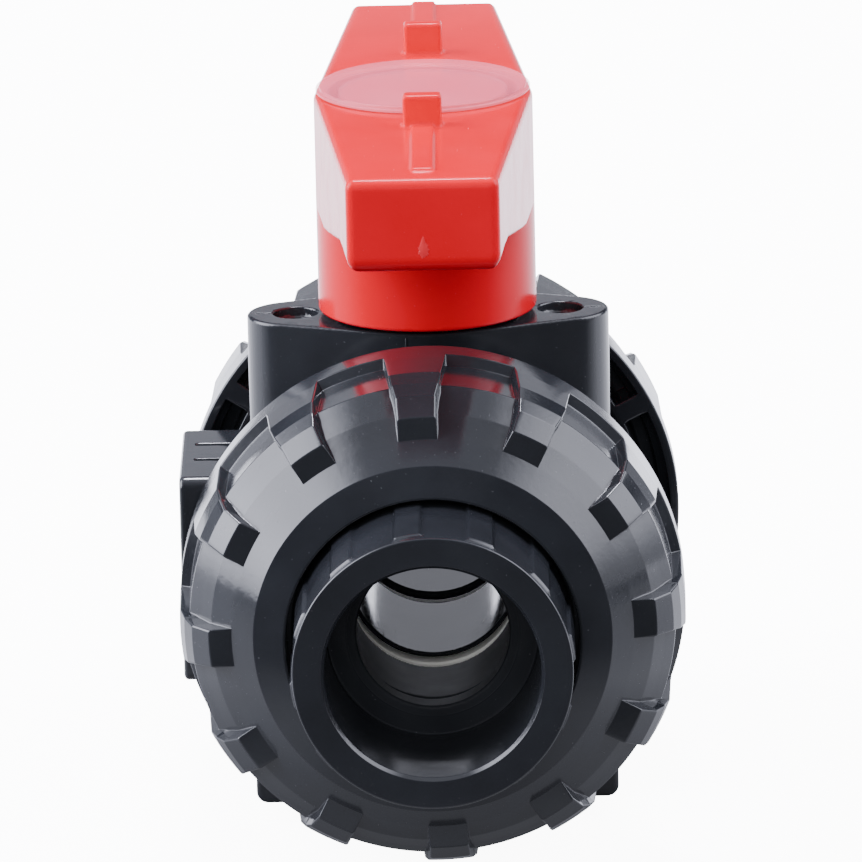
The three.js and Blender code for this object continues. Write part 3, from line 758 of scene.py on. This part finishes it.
def gate_mark():
    """The rough scar of the moulding gate on the front wing's end."""
    across = Matrix.Translation((0, -WING_END * MM, GATE_HEIGHT * MM))

    def jagged(radius, y, angles):
        drip = 0.8 * np.exp(-((angles - TAU / 4) / 0.2) ** 2)
        return radius * (drip - 0.25 - 0.14 * np.cos(2 * angles) + 0.07 * np.sin(7 * angles + 1)
                         + 0.06 * np.sin(17 * angles))

    corners = [(0, 0.12, 0), (0.35, 0.10, 0.05), (1.0, 0.06, 0.1), (1.35, -0.02, 0.05), (1.2, -0.25, 0.05),
               (0, -0.25, 0)]
    obj = turned("gate_mark", [(r, -y, c) for r, y, c in corners], segments=96, swell=jagged)
    obj.data.transform(across)
    return obj


def washer():
    """The thrust washer on the stem's collar."""
    low, high = node_box("stem_thrust_washer")
    inner, outer = STEM_R + 0.5, high[0]
    corners = [(inner, low[2]), (outer, low[2]), (outer, high[2]), (inner, high[2])]
    return turned("washer", [(*corner, 0.15) for corner in corners], axis="Z")


def cap():
    """A clear disc with a bevelled rim and a skirt that snaps into the handle."""
    inner, outer, bottom = CAP_SKIRT
    under = CAP_HIGH[2] - CAP_THICK
    rim = CAP_HIGH[0]
    corners = [(0, under, 0), (inner, under, 0.2), (inner, bottom, 0.2), (outer, bottom, 0.2),
               (outer, under, 0.15), (rim, under, 0.15), (rim, CAP_HIGH[2] - 0.45, 0.12),
               (rim - 0.45, CAP_HIGH[2] - 0.4, 0.1), (rim - 0.6, CAP_HIGH[2], 0.12), (0, CAP_HIGH[2], 0)]
    return turned("cap_disc", corners, axis="Z", segments=192)


# ----------------------------------------------------------------- materials

def add(tree, kind, inputs=(), **settings):
    """A shader node: inputs are (socket, value or output socket)."""
    made = tree.nodes.new("ShaderNode" + kind)
    for key, value in settings.items():
        setattr(made, key, value)
    for key, value in inputs:
        if isinstance(value, bpy.types.NodeSocket):
            tree.links.new(value, made.inputs[key])
        else:
            made.inputs[key].default_value = value
    return made


def blank_material(name, **sockets):
    material = bpy.data.materials.new(name)
    material.use_nodes = True
    tree = material.node_tree
    tree.nodes.clear()
    shader = add(tree, "BsdfPrincipled")
    for key, value in sockets.items():
        shader.inputs[key.replace("_", " ")].default_value = value
    out = add(tree, "OutputMaterial", [("Surface", shader.outputs[0])])
    out.target = "ALL"
    return material, tree, shader


def noise(tree, scale, detail=2.0, roughness=0.5, stretch=(1, 1, 1)):
    """Noise in object space, scale in features per metre."""
    place = add(tree, "TexCoord").outputs["Object"]
    if stretch != (1, 1, 1):
        place = add(tree, "Mapping", [("Vector", place), ("Scale", stretch)]).outputs[0]
    made = add(tree, "TexNoise", [("Vector", place), ("Scale", scale), ("Detail", detail),
                                  ("Roughness", roughness)])
    return made.outputs["Fac"]


def remap(tree, value, low, high, to_low, to_high):
    made = add(tree, "MapRange", [("Value", value), ("From Min", low), ("From Max", high),
                                  ("To Min", to_low), ("To Max", to_high)])
    return made.outputs[0]


def calculated(tree, operation, a, b):
    return add(tree, "Math", [(0, a), (1, b)], operation=operation).outputs[0]


def mixed(tree, factor, a, b):
    made = add(tree, "Mix", data_type="RGBA")
    for key, value in ((0, factor), (6, a), (7, b)):
        if isinstance(value, bpy.types.NodeSocket):
            tree.links.new(value, made.inputs[key])
        else:
            made.inputs[key].default_value = value
    return made.outputs[2]


def moulded_plastic(name, dark, light, gloss, speck, bump_height, **sockets):
    """Injection-moulded plastic: faint mottling, fine texture, dust specks and hair scratches."""
    material, tree, shader = blank_material(name, **sockets)
    mottle = remap(tree, noise(tree, 70, 3), 0.35, 0.65, 0, 1)
    colour = mixed(tree, mottle, (*dark, 1), (*light, 1))
    grains = remap(tree, noise(tree, 1900, 1), 0.76, 0.80, 0, 0.35)
    colour = mixed(tree, grains, colour, (*speck, 1))
    hairs = noise(tree, 240, 4, 0.7, stretch=(9, 1, 9))
    scratches = remap(tree, hairs, 0.68, 0.72, 0, 1)
    colour = mixed(tree, remap(tree, scratches, 0, 1, 0, 0.12), colour, (*speck, 1))
    tree.links.new(colour, shader.inputs["Base Color"])
    smear = remap(tree, noise(tree, 130, 4, 0.6), 0.3, 0.7, gloss[0], gloss[1])
    roughness = calculated(tree, "ADD", smear, remap(tree, scratches, 0, 1, 0, 0.15))
    roughness = calculated(tree, "ADD", roughness, water_wear(tree))
    tree.links.new(roughness, shader.inputs["Roughness"])
    skin = calculated(tree, "SUBTRACT", noise(tree, 1200, 3), scratches)
    bump = add(tree, "Bump", [("Strength", 0.35), ("Distance", bump_height), ("Height", skin)])
    tree.links.new(bump.outputs[0], shader.inputs["Normal"])
    return material


def water_wear(tree):
    """How much rougher the water has made the inlet: the walls near the pipe axis, before the ball."""
    place = add(tree, "TexCoord").outputs["Object"]
    across = add(tree, "VectorMath", [(0, place), (1, (1, 0, 1))], operation="MULTIPLY")
    radius = add(tree, "VectorMath", [(0, across.outputs[0])], operation="LENGTH").outputs["Value"]
    y = add(tree, "SeparateXYZ", [(0, place)]).outputs["Y"]
    inside = remap(tree, radius, (PORT_R + 0.1) * MM, (PORT_R + 0.5) * MM, INLET_WEAR, 0.0)
    before = remap(tree, y, (INLET_WEAR_END - 0.4) * MM, INLET_WEAR_END * MM, 1.0, 0.0)
    return calculated(tree, "MULTIPLY", inside, before)


def turned_ptfe():
    """Waxy white PTFE with fine turning marks about the pipe axis."""
    material, tree, shader = blank_material("turned_ptfe", IOR=1.35)
    place = add(tree, "TexCoord").outputs["Object"]
    rings = add(tree, "TexWave", [("Vector", place), ("Scale", 900.0), ("Distortion", 0.4)],
                wave_type="RINGS", rings_direction="Y").outputs["Fac"]
    colour = mixed(tree, noise(tree, 160, 3), (0.78, 0.78, 0.74, 1), (0.88, 0.88, 0.86, 1))
    tree.links.new(colour, shader.inputs["Base Color"])
    tree.links.new(remap(tree, rings, 0, 1, 0.42, 0.56), shader.inputs["Roughness"])
    bump = add(tree, "Bump", [("Strength", 0.2), ("Distance", 0.00002), ("Height", rings)])
    tree.links.new(bump.outputs[0], shader.inputs["Normal"])
    return material


def seal_rubber():
    """Satin black EPDM with a bloom of release powder."""
    material, tree, shader = blank_material("seal_rubber", IOR=1.5)
    bloom = remap(tree, noise(tree, 320, 4, 0.65), 0.45, 0.75, 0, 1)
    tree.links.new(mixed(tree, bloom, (0.012, 0.012, 0.013, 1), (0.045, 0.045, 0.046, 1)),
                   shader.inputs["Base Color"])
    tree.links.new(remap(tree, bloom, 0, 1, 0.38, 0.62), shader.inputs["Roughness"])
    bump = add(tree, "Bump", [("Strength", 0.3), ("Distance", 0.00003),
                              ("Height", noise(tree, 2600, 2))])
    tree.links.new(bump.outputs[0], shader.inputs["Normal"])
    return material


def milky_plastic():
    """Clear styrene disc, faintly clouded, with fine scuffs."""
    material, tree, shader = blank_material("milky_plastic", IOR=1.49, Alpha=0.45, Specular_IOR_Level=0.2)
    cloud = remap(tree, noise(tree, 90, 3), 0.35, 0.65, 0, 1)
    tree.links.new(mixed(tree, cloud, (0.95, 0.19, 0.27, 1), (0.98, 0.23, 0.31, 1)),
                   shader.inputs["Base Color"])
    scuffs = remap(tree, noise(tree, 300, 4, 0.7, stretch=(1, 8, 1)), 0.6, 0.68, 0, 1)
    tree.links.new(remap(tree, scuffs, 0, 1, 0.12, 0.26), shader.inputs["Roughness"])
    bump = add(tree, "Bump", [("Strength", 0.15), ("Distance", 0.00002),
                              ("Height", noise(tree, 700, 2))])
    tree.links.new(bump.outputs[0], shader.inputs["Normal"])
    return material


MATERIALS = {
    "grey_pvc": moulded_plastic("grey_pvc", (0.014, 0.0152, 0.0185), (0.019, 0.0207, 0.025),
                                (0.10, 0.17), (0.13, 0.135, 0.15), 0.00003, IOR=1.53),
    "red_handle": moulded_plastic("red_handle", (0.68, 0.0008, 0.0115), (0.73, 0.0010, 0.014),
                                  (0.12, 0.19), (0.80, 0.07, 0.08), 0.00002, IOR=1.5,
                                  Specular_IOR_Level=0.16),
    "clear_cap": milky_plastic(),
    "ptfe": turned_ptfe(),
    "seal_rubber": seal_rubber(),
}


# ------------------------------------------------------------------ assembly

def fine(node, field, cell, faces):
    """A moulded piece in its CAD node's box."""
    low, high = node_box(node)
    install(moulded(node + ".fine", field, low, high, cell, faces), node)


def named(obj, node):
    obj.name = node + ".fine"
    obj.data.name = obj.name
    install(obj, node)


COARSE = 1.0

fine("body", body_field, 0.36 * COARSE, 190000)
fine("handle", handle_field, 0.32 * COARSE, 150000)
named(nut(), "union_nut_front")
fine("ball", ball_field, 0.4 * COARSE, 60000)
fine("seat_carrier", carrier_field, 0.4 * COARSE, 60000)
fine("stem", stem_field, 0.25 * COARSE, 60000)

front_nut = bpy.data.objects["union_nut_front.fine"]
rear_nut = bpy.data.objects.new("union_nut_rear.fine", front_nut.data.copy())
rear_nut.data.materials.clear()
rear_nut.data.transform(Matrix.Rotation(math.pi, 4, "Z"))
bpy.context.scene.collection.objects.link(rear_nut)
weighted(rear_nut)
install(rear_nut, "union_nut_rear")

for end, side in (("front", -1), ("rear", 1)):
    named(seat(side), "seat_" + end)
    named(seal(*CUSHION_RING[:2], side * CUSHION_RING[2]), "seat_cushion_ring_" + end)
    named(connector(side), "end_connector_" + end)
    named(seal(*CONNECTOR_RING[:2], side * CONNECTOR_RING[2]), "connector_o_ring_" + end)
named(seal(*CARRIER_RING), "seat_carrier_o_ring")
for level, height in zip(("lower", "upper"), STEM_SEAL_HEIGHTS):
    named(seal(*STEM_RING, height, axis="Z"), "stem_o_ring_" + level)
named(washer(), "stem_thrust_washer")
named(cap(), "clear_cap")


def trim(obj, name, body, material):
    """A fine detail that stands for no CAD node."""
    obj.name = obj.data.name = name
    obj.data.materials.append(material)
    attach(obj, body)


hole_edge, ear_tip = EAR_HOLE_X + EAR_BORE_R, EAR_HOLE_X + EAR_TIP_R - 0.4
for name, sign in (("left", -1), ("right", 1)):
    line = flash_line("line", (sign * hole_edge, 0, EAR_TOP), (sign * ear_tip, 0, EAR_TOP), (0, 0, 1))
    trim(line, "parting_line_" + name, "valve_body", MATERIALS["grey_pvc"])
for name, sign in (("front", -1), ("rear", 1)):
    spot = np.array([FLASH_X, sign * math.sqrt(NECK_R ** 2 - FLASH_X ** 2), 0])
    line = flash_line("line", spot + (0, 0, BARREL_R), spot + (0, 0, EAR_TOP - 0.5), spot / NECK_R)
    trim(line, "parting_line_" + name, "valve_body", MATERIALS["grey_pvc"])
scar = moulded_plastic("gate_scar", (0.70, 0.006, 0.018), (0.80, 0.09, 0.10), (0.3, 0.5),
                       (0.86, 0.2, 0.2), 0.0001, IOR=1.5)
trim(gate_mark(), "gate_mark", "handle", scar)


# --------------------------------------------------------------------- stage

FLOOR_HALF = 3.0
FLOOR_DROP = 0.0004                                          # below the lowest point of the model
FLOOR_FRONT, FLOOR_SIDE, FLOOR_BACK = 0.10, 2.1, 3.8         # light it lends in front, beside, behind
FLOOR_RAMP_FRONT = (-0.13, 0.02)                             # y where one level turns into the next
FLOOR_RAMP_BACK = (0.05, 0.45)
FLOOR_SHADE = (0.045, 0.10, 0.06, 1.0)                       # painted shadow under the valve in the light the floor lends: distances, and the share left at each
FLOOR_ON_DULL = 0.35                                         # share of it that dull surfaces get
FLOOR_GLOW = 10.0                                            # how white the camera sees it
SKY_GLOW = 16.0
ROOM = (0.5, 1.1)                                            # level at the horizon and overhead
ROOM_FRONT = (-0.8, -0.1, 0.03, 1.0)                         # directions' y, and the share at each
FLAG = (0.134, 0.26, 0.6, 0.30)                              # lowest, highest, half width, y
LIGHT_TINT = (0.95, 0.97, 1.10)
# direction, inner and outer angle, level
LOBES = (((-0.86, 0.0, 0.5), 14, 38, 10.0),
         ((-1.0, 0.0, -0.05), 14, 38, 2.3),
         ((0.80, 0.1, 0.60), 14, 36, 5.5),
         ((1.0, 0.0, 0.0), 12, 34, 0.8),
         ((0.0, 0.40, 0.92), 4.5, 8, 60.0))
FILL_PLACE = (-0.15, -1.2, 0.5)
FILL_TARGET = (0, 0, 0.02)
FILL_SIDE = 0.8
FILL_POWER = 12
CAMERA_TARGET = (0.000077, 0, 0.018901)
CAMERA_DISTANCE = 1.71598
CAMERA_ANGLES = (0.419, 15.187, -1.292)                      # turn, rise and roll in degrees
CAMERA_LENS = 466.9


def card(name, corners, material):
    """A four-cornered sheet of the stage."""
    mesh = bpy.data.meshes.new(name)
    mesh.from_pydata(corners, [], [(0, 1, 2, 3)])
    mesh.materials.append(material)
    obj = bpy.data.objects.new(name, mesh)
    bpy.context.scene.collection.objects.link(obj)
    return obj


def floor():
    """A pale floor under the nuts. What it lends to other surfaces grows from front to back."""
    material, tree, shader = blank_material("floor_paper", Emission_Strength=FLOOR_GLOW, Roughness=0.8,
                                            Emission_Color=(1, 1, 1, 1))
    paper = mixed(tree, noise(tree, 30, 3), (0.90, 0.90, 0.90, 1), (0.93, 0.93, 0.93, 1))
    tree.links.new(paper, shader.inputs["Base Color"])
    place = add(tree, "TexCoord").outputs["Object"]
    y = add(tree, "SeparateXYZ", [(0, place)]).outputs["Y"]
    back = remap(tree, y, *FLOOR_RAMP_BACK, 0.0, FLOOR_BACK - FLOOR_SIDE)
    front = remap(tree, y, *FLOOR_RAMP_FRONT, FLOOR_FRONT, FLOOR_SIDE)
    away = add(tree, "VectorMath", [(0, place)], operation="LENGTH").outputs["Value"]
    ray = add(tree, "LightPath")
    level = calculated(tree, "ADD", back, front)
    # painted shadow: the light the floor lends is dimmed near the valve, where its shadow would fall
    level = calculated(tree, "MULTIPLY", level, remap(tree, away, *FLOOR_SHADE))
    dull = remap(tree, ray.outputs["Is Diffuse Ray"], 0.0, 1.0, 1.0, FLOOR_ON_DULL)
    level = calculated(tree, "MULTIPLY", level, dull)
    glow = add(tree, "Emission", [("Strength", level), ("Color", (*LIGHT_TINT, 1))])
    both = add(tree, "MixShader", [(0, ray.outputs["Is Camera Ray"]), (1, glow.outputs[0]),
                                   (2, shader.outputs[0])])
    out = next(n for n in tree.nodes if n.type == "OUTPUT_MATERIAL")
    tree.links.new(both.outputs[0], out.inputs["Surface"])
    half, height = FLOOR_HALF, cad_box[0][2] - FLOOR_DROP
    corners = [(-half, -half, height), (half, -half, height), (half, half, height), (-half, half, height)]
    card("floor", corners, material)


def flag():
    """A black card behind the valve that only gloss sees: it keeps glare off the handle's top."""
    low, high, half, y = FLAG
    material, tree, shader = blank_material("flag_cloth", Roughness=1.0, Specular_IOR_Level=0.0)
    weave = remap(tree, noise(tree, 400, 2), 0.3, 0.7, 0.0, 0.01)
    tree.links.new(weave, shader.inputs["Base Color"])
    obj = card("flag", [(-half, y, low), (half, y, low), (half, y, high), (-half, y, high)], material)
    obj.visible_camera = obj.visible_diffuse = obj.visible_shadow = False


def front_fill():
    """A soft light from the front that gloss doesn't show."""
    light = bpy.data.lights.new("front_fill", "AREA")
    light.shape = "RECTANGLE"
    light.size = light.size_y = FILL_SIDE
    light.energy = FILL_POWER
    obj = bpy.data.objects.new("front_fill", light)
    obj.location = FILL_PLACE
    aim = Vector(FILL_TARGET) - Vector(FILL_PLACE)
    obj.rotation_euler = aim.to_track_quat("-Z", "Y").to_euler()
    obj.visible_glossy = False
    bpy.context.scene.collection.objects.link(obj)


def lobe(tree, way, direction, inner, outer, strength):
    """A round soft-edged light in the world about a direction, its angles in degrees."""
    toward = Vector(direction).normalized()
    near = add(tree, "VectorMath", [(0, way), (1, tuple(toward))], operation="DOT_PRODUCT")
    made = add(tree, "MapRange", [("Value", near.outputs["Value"]),
                                  ("From Min", math.cos(math.radians(outer))),
                                  ("From Max", math.cos(math.radians(inner))),
                                  ("To Min", 0.0), ("To Max", strength)],
               interpolation_type="SMOOTHSTEP")
    return made.outputs[0]


def studio():
    """White where the camera looks; elsewhere large soft lights in a room that is dark in front."""
    world = bpy.data.worlds.new("studio")
    bpy.context.scene.world = world
    world.use_nodes = True
    tree = world.node_tree
    tree.nodes.clear()
    way = add(tree, "TexCoord").outputs["Generated"]
    split = add(tree, "SeparateXYZ", [(0, way)])
    front = remap(tree, split.outputs["Y"], *ROOM_FRONT)
    above = remap(tree, split.outputs["Z"], 0.0, 0.9, *ROOM)
    level = calculated(tree, "MULTIPLY", front, above)
    for light in LOBES:
        level = calculated(tree, "ADD", level, lobe(tree, way, *light))
    room = add(tree, "Background", [("Color", (*LIGHT_TINT, 1)), ("Strength", level)])
    plain = add(tree, "Background", [("Color", (1, 1, 1, 1)), ("Strength", SKY_GLOW)])
    seen = add(tree, "LightPath").outputs["Is Camera Ray"]
    both = add(tree, "MixShader", [(0, seen), (1, room.outputs[0]), (2, plain.outputs[0])])
    add(tree, "OutputWorld", [("Surface", both.outputs[0])])


def camera():
    """A long lens from the front, a little above, with its small roll."""
    turn, rise, roll = (math.radians(a) for a in CAMERA_ANGLES)
    back = Vector((math.sin(turn) * math.cos(rise), -math.cos(turn) * math.cos(rise), math.sin(rise)))
    right = (-back).cross(Vector((0, 0, 1))).normalized()
    up = right.cross(-back)
    x_axis = right * math.cos(roll) + up * math.sin(roll)
    y_axis = up * math.cos(roll) - right * math.sin(roll)
    data = bpy.data.cameras.new("camera")
    data.sensor_width = 36
    data.lens = CAMERA_LENS
    obj = bpy.data.objects.new("camera", data)
    basis = Matrix((x_axis, y_axis, back)).transposed().to_4x4()
    basis.translation = Vector(CAMERA_TARGET) + back * CAMERA_DISTANCE
    obj.matrix_world = basis
    bpy.context.scene.collection.objects.link(obj)
    bpy.context.scene.camera = obj


floor()
flag()
studio()
camera()
front_fill()
